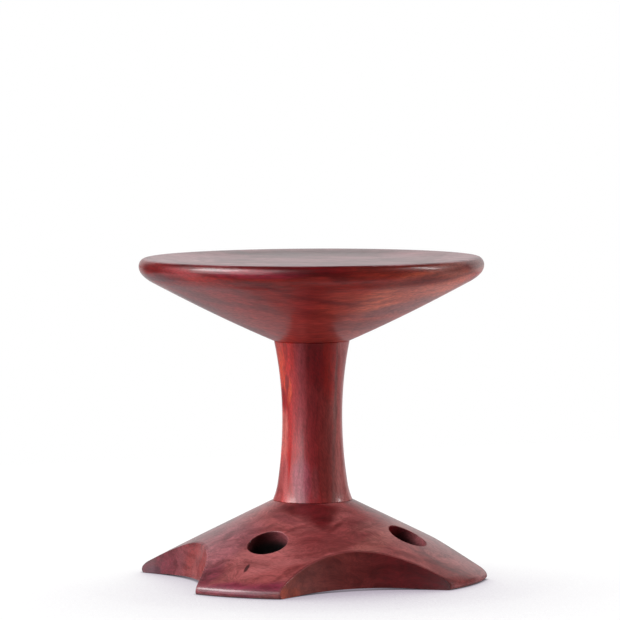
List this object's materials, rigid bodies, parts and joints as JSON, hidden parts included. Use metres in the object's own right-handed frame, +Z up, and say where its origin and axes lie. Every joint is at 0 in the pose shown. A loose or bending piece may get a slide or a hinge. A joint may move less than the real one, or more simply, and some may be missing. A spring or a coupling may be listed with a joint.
{
  "type": "stool",
  "caption": "Round pedestal stool turned from dark red hardwood: a dished seat on a waisted column, and a domed base with scooped sides and slanted round holes.",
  "frame": {"origin": "on the floor at the centre of the stool's outline", "axes": "+Z up along the column; the scooped sides of the base face X and Y, and its feet and holes lie on the diagonals"},
  "size_m": [0.46, 0.46, 0.427],
  "materials": {
    "seat_wood": "satin wax over dark red tropical hardwood, grain along X",
    "column_wood": "satin wax over dark red tropical hardwood, grain along Z",
    "base_wood": "satin wax over dark red tropical hardwood, figured grain",
    "dowel_wood": "plain beech",
    "zinc_steel": "zinc plated",
    "insert_brass": "turned"
  },
  "bodies": {
    "root": {"seat": "seat_wood", "column": "column_wood", "base": "base_wood", "seat_insert": "insert_brass", "tie_rod": "zinc_steel", "base_washer": "zinc_steel", "spring_washer": "zinc_steel", "base_nut": "zinc_steel", "seat_dowel_1": "dowel_wood", "seat_dowel_2": "dowel_wood", "base_dowel_1": "dowel_wood", "base_dowel_2": "dowel_wood"}
  },
  "joints": []
}
